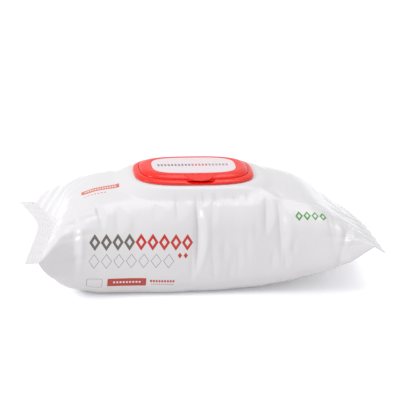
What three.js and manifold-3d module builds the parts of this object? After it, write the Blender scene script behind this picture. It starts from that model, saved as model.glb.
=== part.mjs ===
// A soft flow-wrap pack of wet wipes with a hinged flip-top lid stuck over its dispensing mouth.
// Millimetres, +Z up. X runs along the pack and -Y faces the front. The lid's middle is the design
// origin; the finished group is shifted so that its box stands centred over the origin.
import * as THREE from "three";
import { mergeVertices } from "three/addons/utils/BufferGeometryUtils.js";
import Module from "manifold-3d";

const wasm = await Module();
wasm.setup();

// Film pack: overall form
const packHeight = 85.5; // floor to the flat film under the lid
const packDepth = 108; // front to back at the middle
const sealWidth = 147; // length of each end seal, half the film's girth
const finThickness = 1.2; // the two films of a crimped end seal
const crimpLength = 10.5; // width of each crimped end seal
const waistShare = 0.42; // share of the pack's height at which its middle is widest
const endWaistShare = 0.5; // the same at its ends
const boxyReach = 29; // lid's middle to where the squarish crown starts to round off
const roundReach = 58; // and to where it is roundest
const crownDrop = 1.6; // how far the film at the lid's front and back lies below the lid
const padMargin = 0.8; // the flat film under the lid reaches this far past the lid's edge
const padBlend = 9; // and blends into the crown over this distance
const floorPress = 1.5; // the weight of the wipes presses the underside this much, and so flat
const floorSoftness = 2.5; // blend where the film leaves the floor
const foldRun = 4; // length over which the top bends at an end fold
const foldBend = 3; // how far the top falls and the underside rises over that length
const bowSoftness = 0.22; // how softly the seal bends at its middle, as a share of its half length
const bowRun = 12; // how far inside an end fold the film starts to follow the seal's bow

// Left and right ends of the film pack
const leftEnd = {
  reach: 111.2, // lid's middle to the start of the crimp, at mid seal
  endRun: 13.6, // fold where the stack of wipes ends to the start of the crimp
  creaseDrop: 18.7, // how far the top has fallen at that fold
  creaseLift: 4.4, // underside's clearance from the floor there
  creasePower: 3.2, // squareness of the top there, as in the powers below
  lidEndDrop: 3.7, // how far the film at the lid's end lies below the lid
  shoulder: 77.1, // lid's middle to where the top starts to fall
  shoulderDrop: 8.3, // how far the top has fallen there
  standsTo: 74.5, // lid's middle to the end of the flat underside
  sealRise: 42, // height of the seal above the floor
  lean: 4, // degrees by which the near end of the seal stands above the far one
  droop: 6.7, // how far the seal's ends hang below its middle
  ear: 15.3, // how far the seal's ends stand out past its middle
  slew: 3.5, // how much further out its near end stands, and its far end less
  crimpFall: 0, // degrees by which the crimp hangs down
};
const rightEnd = {
  reach: 132.2,
  endRun: 24.2,
  creaseDrop: 26.6,
  creaseLift: 15.4,
  creasePower: 5.1,
  lidEndDrop: 1,
  shoulder: 79.8,
  shoulderDrop: 9.4,
  standsTo: 2.6,
  sealRise: 42.9,
  lean: 9.7,
  droop: 5.5,
  ear: 1,
  slew: 0.5,
  crimpFall: 32.4,
};
for (const end of [leftEnd, rightEnd]) end.crease = end.reach - end.endRun;

// Cross-section powers of the superellipse, 2 being round and 9 nearly square
const power = {
  topMiddle: 2.8,
  topShoulder: 2.5,
  bottomMiddle: 3.3,
  bottomCrease: 3.6,
  seal: 9,
};

// Crimp ribs, gathers and the folded seam along the underside
const ribCount = 4; // crimp ribs in each end seal
const ribHeight = 0.35;
const gatherDepth = 0.9; // film gathers beside a seal
const gatherCount = 4.3; // gathers in half a seal
const gatherFade = 9; // they die away over this distance from the seal
const gatherShift = 2; // phase, in radians, opposite at the two ends
const seamWidth = 12; // back seam, laid flat along the underside
const seamGroove = 1.2; // width of the step beside it
const seamDepth = 0.4;

// Upright folds in the front film. Each is a valley with a ridge on its right, x from the lid's
// middle; top and foot are film lengths up and down from the widest line of the front.
const ridgeShare = 0.6; // ridge height as a share of the fold's depth
const ridgeShift = 1.4; // valley to ridge, in fold widths
const foldTaper = 1.3; // how quickly a fold thins towards its ends
const folds = [
  { x: -95, top: 44, foot: -18, width: 3.4, depth: 2.4 },
  { x: -78, top: 48, foot: 22, width: 3.2, depth: 1.4 },
  { x: -64, top: 44, foot: 18, width: 3.4, depth: 1.5 },
  { x: -17.5, top: 56, foot: 30, width: 3, depth: 1.4 },
  { x: -2, top: 52, foot: -8, width: 3.4, depth: 2.4 },
  { x: 10, top: 18, foot: -24, width: 3, depth: 1.2 },
  { x: 29.5, top: 12, foot: -16, width: 3, depth: 1.3 },
  { x: 51.5, top: 50, foot: 14, width: 3.2, depth: 1.6 },
  { x: 63.5, top: 36, foot: -8, width: 3.2, depth: 1.8 },
  { x: 109, top: 22, foot: -22, width: 3.2, depth: 1.5 },
];

// Flip-top lid: a shallow base frame stuck to the film, and a domed flap hinged at its back
const lidLength = 94;
const lidDepth = 54.6;
const lidPower = 3.1; // superellipse power of the lid's outline
const lidWall = 1.2;
const lidRise = 5.8; // base's underside to the flap's flat top
const rimHeight = 2.8; // base's underside to the top of its rim
const rimWidth = 4; // outer edge to the inside of the rim
const rimFlat = 1.2; // flat part of the rim's top
const rimEdge = 1; // upright part of the rim's outer edge
const edgePower = 1.6; // roundness of the rim's and the flap's edges, 2 being a quarter ellipse
const baseFloor = 1;
const partingGap = 0.4; // between the rim and the flap's skirt
const skirtClearance = 0.5; // between the flap's skirt or sealing ring and what is under it
const mouthSide = 18; // lid's end to the dispensing mouth
const mouthFront = 14; // lid's front to the mouth
const mouthPower = 2.8;
const collarWall = 1.2;
const collarHeight = 3.2; // base's underside to the top of the collar round the mouth
const glueThickness = 0.5;
const glueInset = 2;
const glueMargin = 3; // between the glue and the mouth
const labelSide = 14; // lid's end to the label
const labelFront = 11.3; // lid's front to the label
const labelPower = 3.4;
const labelThickness = 0.25;
const labelRecess = 0.4;
const labelMargin = 0.3; // gap round the label in its recess
const plateauMargin = 1.2; // flat rim round the label's recess
const domeEdge = 0.3; // upright edge of the dome above the rim
const lipWidth = 24.5; // thumb lip at the front of the flap
const lipShift = 2.5; // its middle stands right of the lid's
const lipReach = 3.6; // how far it stands out in front of the flap
const lipThickness = 1.2;
const lipDrop = 2.4; // flat top of the flap down to the top of the lip
const lipSides = 0.45; // rounded share of the lip's sides
const lipBulge = 0.8; // fullness of its front
const thumbClearance = 1.2; // between the lip and the cut in the rim
const hingeWidth = 46; // straight hinge shelf between the rim's curved inner walls
const hingeGap = 0.5; // between the flap's back edge and the hinge shelf
const shelfDrop = 0.1; // hinge shelf below the rim's top
const hingeOpening = 120; // degrees; the flap's back edge is bevelled so that it opens this far
const peelSide = 5; // mouth's end to the first-use seal over the film's cut opening
const peelFront = 3.5; // mouth's front to that seal
const peelThickness = 0.2;
const peelTabLength = 8;
const peelTabWidth = 12;

// Sampling
const topSteps = 36;
const bottomSteps = 18;
const bodySteps = 52;
const ovalSteps = 56;
const edgeSteps = 3;
const outlineSamples = 240;

const clamp01 = (t) => Math.min(1, Math.max(0, t));
const smooth = (t) => clamp01(t) ** 2 * (3 - 2 * clamp01(t));
const mix = (a, b, t) => a + (b - a) * t;
const radians = (degrees) => (degrees * Math.PI) / 180;

// A smooth curve through [x, value] knots that never overshoots them.
function curveThrough(knots) {
  const last = knots.length - 1;
  const slopes = [];
  for (let i = 0; i < last; i++) {
    slopes.push((knots[i + 1][1] - knots[i][1]) / (knots[i + 1][0] - knots[i][0]));
  }
  const tangents = knots.map((_, i) => {
    if (i === 0) return slopes[0];
    if (i === last) return slopes[last - 1];
    const product = slopes[i - 1] * slopes[i];
    return product <= 0 ? 0 : (2 * product) / (slopes[i - 1] + slopes[i]);
  });
  return (x) => {
    if (x <= knots[0][0]) return knots[0][1];
    if (x >= knots[last][0]) return knots[last][1];
    const i = knots.findIndex((k) => k[0] >= x) - 1;
    const span = knots[i + 1][0] - knots[i][0];
    const t = (x - knots[i][0]) / span;
    return (
      (2 * t ** 3 - 3 * t ** 2 + 1) * knots[i][1] +
      (t ** 3 - 2 * t ** 2 + t) * span * tangents[i] +
      (3 * t ** 2 - 2 * t ** 3) * knots[i + 1][1] +
      (t ** 3 - t ** 2) * span * tangents[i + 1]
    );
  };
}

// A curve over the distance outward from the lid's middle, one for each end.
const perEnd = (knotsOf) => {
  const left = curveThrough(knotsOf(leftEnd));
  const right = curveThrough(knotsOf(rightEnd));
  return (x) => (x < 0 ? left(-x) : right(x));
};
const topHeight = perEnd((end) => [
  [0, packHeight - crownDrop],
  [lidLength / 2, packHeight - end.lidEndDrop],
  [end.shoulder, packHeight - end.shoulderDrop],
  [end.crease - foldRun, packHeight - end.creaseDrop + foldBend],
  [end.crease, packHeight - end.creaseDrop],
  [end.reach, end.sealRise + finThickness / 2],
]);

// The underside is drawn a little below the floor where it rests, and onFloor presses it flat.
const undersideHeight = perEnd((end) => [
  [0, -floorPress - floorSoftness],
  [end.standsTo, -floorPress - floorSoftness],
  [end.crease - foldRun, end.creaseLift - foldBend],
  [end.crease, end.creaseLift],
  [end.reach, end.sealRise - finThickness / 2],
]);
const sectionHeight = (x) => topHeight(x) - undersideHeight(x);
const topPower = perEnd((end) => [
  [0, power.topMiddle],
  [boxyReach, power.topMiddle],
  [roundReach, power.topShoulder],
  [end.crease, end.creasePower],
  [end.reach, power.seal],
]);
const bottomPower = perEnd((end) => [
  [0, power.bottomMiddle],
  [end.crease, power.bottomCrease],
  [end.reach, power.seal],
]);
const lean = perEnd((end) => [
  [0, 0],
  [lidLength / 2, 0],
  [end.reach, end.lean],
]);
const waist = perEnd((end) => [
  [0, waistShare],
  [end.crease, endWaistShare],
]);

// Half of the film's girth stays the same from seal to seal, so the tube widens as it flattens.
const sectionWidth = (x) =>
  sealWidth - ((sealWidth - packDepth) * sectionHeight(x)) / packHeight;

// Points at equal film lengths along half a superellipse, from y = -halfWidth to +halfWidth.
function halfOutline(halfWidth, height, squareness, steps) {
  const points = [];
  for (let i = 0; i <= outlineSamples; i++) {
    const angle = (Math.PI * i) / outlineSamples;
    const c = Math.cos(angle);
    const s = Math.sin(angle);
    const y = -halfWidth * Math.sign(c) * Math.abs(c) ** (2 / squareness);
    points.push([y, height * Math.abs(s) ** (2 / squareness)]);
  }
  const run = [0];
  for (let i = 1; i <= outlineSamples; i++) {
    const [a, b] = [points[i - 1], points[i]];
    run.push(run[i - 1] + Math.hypot(b[0] - a[0], b[1] - a[1]));
  }
  const outline = [];
  let k = 0;
  for (let j = 0; j <= steps; j++) {
    const want = (run[outlineSamples] * j) / steps;
    while (k < outlineSamples - 1 && run[k + 1] < want) k++;
    const t = (want - run[k]) / (run[k + 1] - run[k]);
    outline.push([mix(points[k][0], points[k + 1][0], t), mix(points[k][1], points[k + 1][1], t)]);
  }
  return outline;
}

// The film's section at x: over the top from front to back, then back to the front underneath.
function sectionOutline(x) {
  const height = sectionHeight(x);
  const below = height * waist(x);
  const halfWidth = sectionWidth(x) / 2;
  const top = halfOutline(halfWidth, height - below, topPower(x), topSteps);
  const bottom = halfOutline(halfWidth, below, bottomPower(x), bottomSteps);
  const level = undersideHeight(x) + below;
  return [
    ...top.map(([y, z]) => [y, level + z]),
    ...bottom.slice(1, -1).reverse().map(([y, z]) => [y, level - z]),
  ];
}

// How far out from the lid's outline a point of the top film is, in millimetres.
function lidDistance(x, y) {
  const along = Math.abs((2 * x) / lidLength) ** lidPower;
  const across = Math.abs((2 * y) / lidDepth) ** lidPower;
  return (((along + across) ** (1 / lidPower) - 1) * lidDepth) / 2;
}

const onFloor = (z) => {
  if (z >= floorSoftness) return z;
  if (z <= -floorSoftness) return 0;
  return (z + floorSoftness) ** 2 / (4 * floorSoftness);
};

function filmPoint(x, [y, level], isTop) {
  const end = x < 0 ? leftEnd : rightEnd;
  const side = Math.sign(x);
  const share = (2 * y) / sealWidth;
  const bow = Math.hypot(share, bowSoftness) - bowSoftness;
  const start = end.crease - bowRun;
  const toSeal = smooth((Math.abs(x) - start) / (end.reach - start));
  const crimpRun = Math.max(0, Math.abs(x) - end.reach);
  const fall = radians(end.crimpFall);
  const outward = (end.ear * bow - end.slew * share) * toSeal;
  const px = x + side * (outward - crimpRun * (1 - Math.cos(fall)));
  const fromSeal = Math.abs(Math.abs(x) - end.reach);
  const wave = Math.sin(2 * Math.PI * gatherCount * share + gatherShift * side);
  const gather = gatherDepth * wave * Math.exp(-fromSeal / gatherFade);
  let z = level - y * Math.tan(radians(lean(x))) - end.droop * bow * toSeal + gather;
  z -= crimpRun * Math.sin(fall);
  if (isTop) z = mix(z, packHeight, 1 - smooth((lidDistance(px, y) - padMargin) / padBlend));
  return [px, y, Math.max(0, onFloor(z))];
}

// How far the folds push the film out of its smooth form at x and a film length along the section.
function foldPush(x, along) {
  let push = 0;
  for (const fold of folds) {
    const share = (along - fold.foot) / (fold.top - fold.foot);
    if (share <= 0 || share >= 1) continue;
    const across = (x - fold.x) / fold.width;
    const ridge = ridgeShare * Math.exp(-((across - ridgeShift) ** 2));
    push += fold.depth * Math.sin(Math.PI * share) ** foldTaper * (ridge - Math.exp(-(across ** 2)));
  }
  return push;
}

// A section's points with the folds pressed into the front, along the film's own normal.
function foldedSection(x) {
  const outline = sectionOutline(x);
  const count = outline.length;
  const lengths = [0];
  for (let j = 1; j < count; j++) {
    const [a, b] = [outline[j - 1], outline[j]];
    lengths.push(lengths[j - 1] + Math.hypot(b[0] - a[0], b[1] - a[1]));
  }
  const girth = lengths[count - 1];
  return outline.map(([y, z], j) => {
    const along = lengths[j] < girth / 2 ? lengths[j] : lengths[j] - girth;
    const push = foldPush(x, along);
    const before = outline[(j + count - 1) % count];
    const after = outline[(j + 1) % count];
    const [ty, tz] = [after[0] - before[0], after[1] - before[1]];
    const size = Math.hypot(ty, tz);
    return [y - (push * tz) / size, z + (push * ty) / size];
  });
}

// Stations along the pack. One is moved onto the valley of each fold, so that it stays sharp.
function stationsAlong() {
  const ribs = Array.from({ length: 2 * ribCount + 1 }, (_, i) => (crimpLength * i) / (2 * ribCount));
  const body = Array.from({ length: bodySteps - 1 }, (_, i) =>
    mix(-leftEnd.reach, rightEnd.reach, (i + 1) / bodySteps),
  );
  for (const place of [...folds.map((fold) => fold.x), -leftEnd.crease, rightEnd.crease]) {
    const nearest = body.reduce((a, b) => (Math.abs(b - place) < Math.abs(a - place) ? b : a));
    body[body.indexOf(nearest)] = place;
  }
  return [
    ...ribs.map((run) => -leftEnd.reach - run).reverse(),
    ...body,
    ...ribs.map((run) => rightEnd.reach + run),
  ];
}

function filmTube() {
  const rings = stationsAlong().map((x, i) => {
    const inCrimp = x < -leftEnd.reach || x > rightEnd.reach;
    const rib = inCrimp ? ((i % 2 ? 1 : -1) * ribHeight) / 2 : 0;
    return foldedSection(x).map((point, j) => {
      const [px, py, pz] = filmPoint(x, point, j <= topSteps);
      return [px, py, pz + rib];
    });
  });
  return closedTube(rings);
}

// Joins rings of points into a closed solid. Each end is zipped between its top and bottom rows.
function closedTube(rings) {
  const count = rings[0].length;
  const index = [];
  for (let i = 0; i + 1 < rings.length; i++) {
    for (let j = 0; j < count; j++) {
      const k = (j + 1) % count;
      const [a, b] = [i * count + j, i * count + k];
      const [c, d] = [a + count, b + count];
      index.push(a, c, b, b, c, d);
    }
  }
  const zip = (start, ring, flip) => {
    const add = (...corners) => {
      const triangle = corners.map((j) => start + j);
      index.push(...(flip ? triangle.reverse() : triangle));
    };
    let [top, bottom] = [1, count - 1];
    add(0, top, bottom);
    while (bottom - top > 1) {
      const alongTop = top < topSteps && (bottom <= topSteps || ring[top + 1][1] <= ring[bottom - 1][1]);
      add(top, alongTop ? top + 1 : bottom - 1, bottom);
      if (alongTop) top++;
      else bottom--;
    }
  };
  zip(0, rings[0], false);
  zip((rings.length - 1) * count, rings[rings.length - 1], true);
  return meshFrom(rings.flat(2), index);
}

function meshFrom(positions, index) {
  const geometry = new THREE.BufferGeometry();
  geometry.setAttribute("position", new THREE.Float32BufferAttribute(positions, 3));
  geometry.setIndex(index);
  return geometry;
}

// An oval is a superellipse by its full length, depth and power; inset moves its edge inwards.
const oval = (length, depth, squareness) => ({ length, depth, squareness });
const lidOval = oval(lidLength, lidDepth, lidPower);
const mouthOval = oval(lidLength - 2 * mouthSide, lidDepth - 2 * mouthFront, mouthPower);
const labelOval = oval(lidLength - 2 * labelSide, lidDepth - 2 * labelFront, labelPower);
const peelOval = oval(mouthOval.length - 2 * peelSide, mouthOval.depth - 2 * peelFront, mouthPower);

function ovalPoints([{ length, depth, squareness }, inset, z]) {
  return Array.from({ length: ovalSteps }, (_, i) => {
    const angle = (2 * Math.PI * i) / ovalSteps;
    const c = Math.cos(angle);
    const s = Math.sin(angle);
    const x = (length / 2 - inset) * Math.sign(c) * Math.abs(c) ** (2 / squareness);
    const y = (depth / 2 - inset) * Math.sign(s) * Math.abs(s) ** (2 / squareness);
    return [x, y, z];
  });
}

// A rounded edge from the end of a flat top out and down to an upright side.
const roundedEdge = (outline, topInset, top, sideInset, side) =>
  Array.from({ length: edgeSteps + 1 }, (_, i) => {
    const angle = (Math.PI * i) / (2 * edgeSteps);
    const out = Math.sin(angle) ** (2 / edgePower);
    const up = Math.max(0, Math.cos(angle)) ** (2 / edgePower);
    return [outline, mix(topInset, sideInset, out), mix(side, top, up)];
  });

// Rings of triangles between ovals. A closed profile makes a frame; an open one is capped flat at
// both ends and makes a disc or a dome. With the middle on the left, the profile runs clockwise.
function sweptOvals(profile, closed) {
  const rings = profile.map(ovalPoints);
  const count = rings.length;
  const index = [];
  for (let i = 0; i < (closed ? count : count - 1); i++) {
    const next = (i + 1) % count;
    for (let j = 0; j < ovalSteps; j++) {
      const k = (j + 1) % ovalSteps;
      const [a, b] = [i * ovalSteps + j, i * ovalSteps + k];
      const [c, d] = [next * ovalSteps + j, next * ovalSteps + k];
      index.push(a, c, b, b, c, d);
    }
  }
  const positions = rings.flat(2);
  if (!closed) {
    const [top, bottom] = [count * ovalSteps, count * ovalSteps + 1];
    positions.push(0, 0, profile[0][2], 0, 0, profile[count - 1][2]);
    for (let j = 0; j < ovalSteps; j++) {
      const k = (j + 1) % ovalSteps;
      const last = (count - 1) * ovalSteps;
      index.push(top, j, k, bottom, last + k, last + j);
    }
  }
  return meshFrom(positions, index);
}

// Boolean joins and cuts between closed meshes.
function toSolid(geometry) {
  const plain = geometry.clone();
  plain.deleteAttribute("normal");
  plain.deleteAttribute("uv");
  const merged = mergeVertices(plain);
  const vertProperties = new Float32Array(merged.attributes.position.array);
  const triVerts = new Uint32Array(merged.index.array);
  return new wasm.Manifold(new wasm.Mesh({ numProp: 3, vertProperties, triVerts }));
}

function toGeometry(solid) {
  const { vertProperties, triVerts } = solid.getMesh();
  return meshFrom(vertProperties, Array.from(triVerts));
}

const block = (x0, x1, y0, y1, z0, z1) =>
  new THREE.BoxGeometry(x1 - x0, y1 - y0, z1 - z0).translate((x0 + x1) / 2, (y0 + y1) / 2, (z0 + z1) / 2);

// The film pack with the step of its folded back seam pressed into the flat underside.
function pouchGeometry() {
  const reach = leftEnd.reach + rightEnd.reach;
  let pack = toSolid(filmTube());
  for (const side of [-1, 1]) {
    const edge = (side * seamWidth) / 2;
    const [near, far] = [edge - seamGroove / 2, edge + seamGroove / 2];
    pack = pack.subtract(toSolid(block(-reach, reach, near, far, -seamDepth, seamDepth)));
  }
  return toGeometry(pack);
}

// Heights inside the lid, from the base's underside
const skirtFoot = baseFloor + skirtClearance;
const flapUnderside = lidRise - labelRecess - lidWall;
const skirtInset = rimWidth + partingGap;
const plateauInset = labelFront - plateauMargin;
const lipTop = lidRise - lipDrop;
const thumbFloor = lipTop - lipThickness - thumbClearance;
const lipFront = -(lidDepth / 2 - skirtInset + lipReach);
const hingeLine = lidDepth / 2 - skirtInset - lidWall; // back edge of the flap between its skirts

// A plan outline with a rounded front, drawn upwards into a solid from z0 to z1.
function lipPlate(width, front, back, z0, z1) {
  const half = width / 2;
  const shape = new THREE.Shape();
  shape.moveTo(half, back);
  shape.lineTo(-half, back);
  const shoulder = mix(front, back, lipSides);
  shape.lineTo(-half, shoulder);
  shape.quadraticCurveTo(-half * lipBulge, front, 0, front);
  shape.quadraticCurveTo(half * lipBulge, front, half, shoulder);
  shape.closePath();
  const plate = new THREE.ExtrudeGeometry(shape, { depth: z1 - z0, bevelEnabled: false, curveSegments: 8 });
  return plate.translate(0, 0, z0);
}

function lidBaseGeometry() {
  const frame = sweptOvals([
    [lidOval, 0, 0],
    [mouthOval, 0, 0],
    [mouthOval, 0, collarHeight],
    [mouthOval, -collarWall, collarHeight],
    [mouthOval, -collarWall, baseFloor],
    [lidOval, rimWidth, baseFloor],
    [lidOval, rimWidth, rimHeight],
    ...roundedEdge(lidOval, rimWidth - rimFlat, rimHeight, 0, rimEdge),
  ], true);
  const thumb = lipPlate(
    lipWidth + 2 * thumbClearance,
    -lidDepth,
    -(lidDepth / 2 - rimWidth - lidWall),
    thumbFloor,
    lidRise,
  ).translate(lipShift, 0, 0);
  const shelf = block(
    -hingeWidth / 2, hingeWidth / 2,
    hingeLine + hingeGap, lidDepth / 2 - rimWidth + rimFlat / 4,
    baseFloor / 2, rimHeight - shelfDrop,
  );
  return toGeometry(toSolid(frame).subtract(toSolid(thumb)).add(toSolid(shelf)));
}

function lidFlapGeometry() {
  const ring = -collarWall - partingGap; // sealing ring round the outside of the collar
  const dome = sweptOvals([
    [labelOval, -labelMargin, lidRise - labelRecess],
    [labelOval, -labelMargin, lidRise],
    ...roundedEdge(lidOval, plateauInset, lidRise, skirtInset, rimHeight + domeEdge),
    [lidOval, skirtInset, skirtFoot],
    [lidOval, skirtInset + lidWall, skirtFoot],
    [lidOval, skirtInset + lidWall, rimHeight + domeEdge - lidWall / 2],
    [lidOval, plateauInset, flapUnderside],
    [mouthOval, ring - collarWall, flapUnderside],
    [mouthOval, ring - collarWall, skirtFoot],
    [mouthOval, ring, skirtFoot],
    [mouthOval, ring, flapUnderside],
  ], false);
  const lip = lipPlate(
    lipWidth,
    lipFront,
    -(lidDepth / 2 - plateauInset),
    lipTop - lipThickness,
    lipTop,
  ).translate(lipShift, 0, 0);
  return toGeometry(toSolid(dome).add(toSolid(lip)).subtract(toSolid(behindHingeGeometry())));
}

// What is cut from the back of the flap, all along it: upright below the hinge, and bevelled above.
function behindHingeGeometry() {
  const top = 2 * lidRise;
  const bevel = (top - rimHeight) * Math.tan(radians(hingeOpening - 90));
  const shape = new THREE.Shape();
  shape.moveTo(hingeLine, 0);
  shape.lineTo(lidDepth, 0);
  shape.lineTo(lidDepth, top);
  shape.lineTo(hingeLine - bevel, top);
  shape.lineTo(hingeLine, rimHeight);
  shape.closePath();
  const cut = new THREE.ExtrudeGeometry(shape, { depth: lidLength, bevelEnabled: false });
  return cut.translate(0, 0, -lidLength / 2).rotateX(Math.PI / 2).rotateZ(Math.PI / 2);
}

const plate = (outline, inset, z0, z1) => sweptOvals([[outline, inset, z1], [outline, inset, z0]], false);

function peelSealGeometry() {
  const tab = lipPlate(peelTabWidth, -peelTabLength, 0, 0, peelThickness);
  tab.rotateZ(Math.PI / 2).translate((peelOval.length - peelTabLength) / 2, 0, 0);
  return toGeometry(toSolid(plate(peelOval, 0, 0, peelThickness)).add(toSolid(tab)));
}

const glueGeometry = () =>
  sweptOvals([
    [lidOval, glueInset, 0],
    [mouthOval, -glueMargin, 0],
    [mouthOval, -glueMargin, glueThickness],
    [lidOval, glueInset, glueThickness],
  ], true);

const film = new THREE.MeshStandardMaterial({ color: "#f2f2f4", roughness: 0.35 });
const lidPlastic = new THREE.MeshStandardMaterial({ color: "#e5321f", roughness: 0.22 });
const labelStock = new THREE.MeshStandardMaterial({ color: "#f6eeee", roughness: 0.5 });
const peelStock = new THREE.MeshStandardMaterial({ color: "#e9ebee", roughness: 0.4 });
const glue = new THREE.MeshStandardMaterial({ color: "#e8e2d0", roughness: 0.6 });

function addPiece(parent, name, geometry, material, z) {
  const piece = new THREE.Mesh(geometry, material);
  piece.name = name;
  piece.position.z = z;
  parent.add(piece);
}

const lid = new THREE.Group();
addPiece(lid, "peel_seal", peelSealGeometry(), peelStock, packHeight);
addPiece(lid, "lid_glue", glueGeometry(), glue, packHeight);
const lidLevel = packHeight + glueThickness;
addPiece(lid, "lid_base", lidBaseGeometry(), lidPlastic, lidLevel);
addPiece(lid, "lid_flap", lidFlapGeometry(), lidPlastic, lidLevel);
const labelLevel = lidLevel + lidRise - labelRecess;
addPiece(lid, "lid_label", plate(labelOval, 0, 0, labelThickness), labelStock, labelLevel);

const pack = new THREE.Group();
addPiece(pack, "pouch", pouchGeometry(), film, 0);
pack.add(lid);

// The lid's middle is moved so that the whole pack's box is centred over the origin.
const box = new THREE.Box3().setFromObject(pack);
pack.position.set(-(box.min.x + box.max.x) / 2, -(box.min.y + box.max.y) / 2, 0);

const group = new THREE.Group();
group.add(pack);
export default group;
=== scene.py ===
# A soft flow-wrap pack of wet wipes with a hinged flip-top lid, lying on a white sweep.
# Lengths are in millimetres, measured from the lid's middle, until a mesh is placed in the frame.
import math
import random

import bpy
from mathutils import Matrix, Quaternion, Vector, noise


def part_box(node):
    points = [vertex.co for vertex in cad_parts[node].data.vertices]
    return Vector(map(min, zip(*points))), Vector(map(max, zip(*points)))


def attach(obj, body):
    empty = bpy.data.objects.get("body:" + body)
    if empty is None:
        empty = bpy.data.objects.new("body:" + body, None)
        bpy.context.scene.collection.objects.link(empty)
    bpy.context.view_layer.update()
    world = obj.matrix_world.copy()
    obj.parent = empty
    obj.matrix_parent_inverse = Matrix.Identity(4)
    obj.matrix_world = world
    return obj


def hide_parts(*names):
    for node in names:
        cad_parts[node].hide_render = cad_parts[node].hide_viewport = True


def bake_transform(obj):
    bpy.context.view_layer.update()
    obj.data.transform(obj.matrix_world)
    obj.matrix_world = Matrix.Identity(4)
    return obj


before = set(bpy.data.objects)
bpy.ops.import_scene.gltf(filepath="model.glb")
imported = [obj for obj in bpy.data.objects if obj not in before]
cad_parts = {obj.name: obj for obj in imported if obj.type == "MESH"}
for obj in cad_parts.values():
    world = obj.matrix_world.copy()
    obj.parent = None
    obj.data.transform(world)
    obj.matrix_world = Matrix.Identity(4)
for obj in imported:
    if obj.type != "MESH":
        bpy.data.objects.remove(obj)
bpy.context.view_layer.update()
MM = 0.001
lid_low, lid_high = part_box("lid_base")
LID_PLACE = Vector(((lid_low.x + lid_high.x) / 2, (lid_low.y + lid_high.y) / 2, 0))


def place_camera():
    """A long lens a little above the pack, from slightly left of its front, held a little askew."""
    turn, rise, roll = math.radians(-8.7), math.radians(22), math.radians(2.64)
    distance, lid_height = 2.0, 0.086
    aim_across, aim_below = 0.00535, 0.0226
    back = Vector((math.sin(turn) * math.cos(rise), -math.cos(turn) * math.cos(rise), math.sin(rise)))
    level = Vector((math.cos(turn), math.sin(turn), 0))
    upright = back.cross(level)
    across = level * math.cos(roll) + upright * math.sin(roll)
    upward = upright * math.cos(roll) - level * math.sin(roll)
    lid_top = LID_PLACE + Vector((0, 0, lid_height))
    aim = lid_top + across * aim_across - upward * aim_below
    data = bpy.data.cameras.new("front_camera")
    data.lens = 228.6
    data.sensor_width = 36.0
    camera = bpy.data.objects.new("front_camera", data)
    camera.location = lid_top + back * distance
    facing = (aim - camera.location).to_track_quat("-Z", "Y")
    camera.rotation_euler = (facing @ Quaternion((0, 0, 1), roll)).to_euler()
    bpy.context.scene.collection.objects.link(camera)
    bpy.context.scene.camera = camera


place_camera()

# The film pack: the same form as the model that it dresses
PACK_HEIGHT = 85.5
PACK_DEPTH = 108
SEAL_WIDTH = 147
FIN_THICKNESS = 0.7
CRIMP_LENGTH = 10.5
WAIST_SHARE, END_WAIST_SHARE = 0.42, 0.5
BOXY_REACH, ROUND_REACH = 29, 58
CROWN_DROP = 1.6
PAD_MARGIN, PAD_BLEND = 0.8, 9
FLOOR_PRESS, FLOOR_SOFTNESS = 1.5, 2.5
FOLD_RUN, FOLD_BEND = 4, 3
BOW_SOFTNESS, BOW_RUN = 0.22, 12
LEFT_END = dict(
    reach=111.2, end_run=13.6, crease_drop=18.7, crease_lift=4.4, crease_power=3.2, lid_end_drop=3.7,
    shoulder=77.1, shoulder_drop=8.3, stands_to=74.5, seal_rise=42, lean=4, droop=6.7, ear=15.3,
    slew=3.5, crimp_fall=0,
)
RIGHT_END = dict(
    reach=132.2, end_run=24.2, crease_drop=26.6, crease_lift=15.4, crease_power=5.1, lid_end_drop=1,
    shoulder=79.8, shoulder_drop=9.4, stands_to=2.6, seal_rise=42.9, lean=9.7, droop=5.5, ear=1,
    slew=0.5, crimp_fall=32.4,
)
POWER = dict(top_middle=2.8, top_shoulder=2.5, bottom_middle=3.3, bottom_crease=3.6, seal=9)
GATHER_DEPTH, GATHER_COUNT, GATHER_FADE, GATHER_SHIFT = 0.9, 4.3, 9, 2
FINE_GATHER_DEPTH, FINE_GATHER_COUNT, FINE_GATHER_FADE, FINE_GATHER_SHIFT = 0.12, 11, 5, 5
SEAM_WIDTH, SEAM_STEP, SEAM_SLOPE = 12, 0.35, 3

# Lid sizes, again as in the model, with finer edges
LID_LENGTH, LID_DEPTH, LID_POWER = 94, 54.6, 3.1
LID_WALL, LID_RISE = 1.2, 5.8
RIM_HEIGHT, RIM_WIDTH, RIM_FLAT, RIM_EDGE = 2.8, 4, 0.35, 1
EDGE_POWER = 1.6
BASE_FLOOR, PARTING_GAP, SKIRT_CLEARANCE = 1, 0.4, 0.5
MOUTH_LENGTH, MOUTH_DEPTH, MOUTH_POWER = 58, 26.6, 2.8
COLLAR_WALL, COLLAR_HEIGHT = 1.2, 3.2
GLUE_THICKNESS = 0.5
LABEL_LENGTH, LABEL_DEPTH, LABEL_POWER = 66, 32, 3.4
LABEL_THICKNESS, LABEL_RECESS, LABEL_MARGIN, PLATEAU_MARGIN = 0.25, 0.4, 0.45, 1.2
LIP_WIDTH, LIP_SHIFT, LIP_REACH, LIP_THICKNESS, LIP_DROP = 24.5, 2.5, 3.6, 1.2, 2.4
LIP_SEAT, LIP_CREST_DROP, LIP_BROW_RISE = 0.1, 0.6, 0.5
THUMB_CLEARANCE, THUMB_CUT_MARGIN, THUMB_CUT_FLATNESS, THUMB_CUT_POWER = 1.2, 1, 1.6, 0.7
HINGE_WIDTH, HINGE_GAP, HINGE_OPENING = 46, 0.5, 120
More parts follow.
